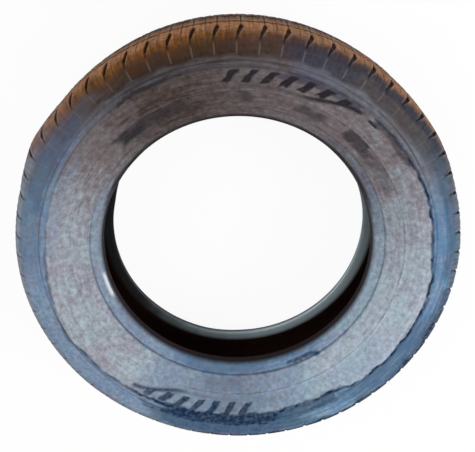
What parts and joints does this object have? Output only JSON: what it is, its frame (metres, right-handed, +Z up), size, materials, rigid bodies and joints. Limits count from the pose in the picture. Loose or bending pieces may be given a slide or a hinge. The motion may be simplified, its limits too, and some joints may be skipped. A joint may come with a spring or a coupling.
{
  "type": "worn car tyre",
  "caption": "Old worn passenger car tyre off its wheel, lying on one sidewall, with ribbed shoulders, grooved tread and an open air space between its beads.",
  "frame": {"origin": "on the wheel axis, in the plane of the lower scuff rib that the tyre lies on", "axes": "+Z up along the wheel axis"},
  "size_m": [0.6178, 0.6176, 0.174],
  "materials": {
    "aged_rubber": "weathered, chalky black rubber with a grey bloom and brown dirt on the shoulders"
  },
  "bodies": {
    "root": {"tyre": "aged_rubber"}
  },
  "joints": []
}
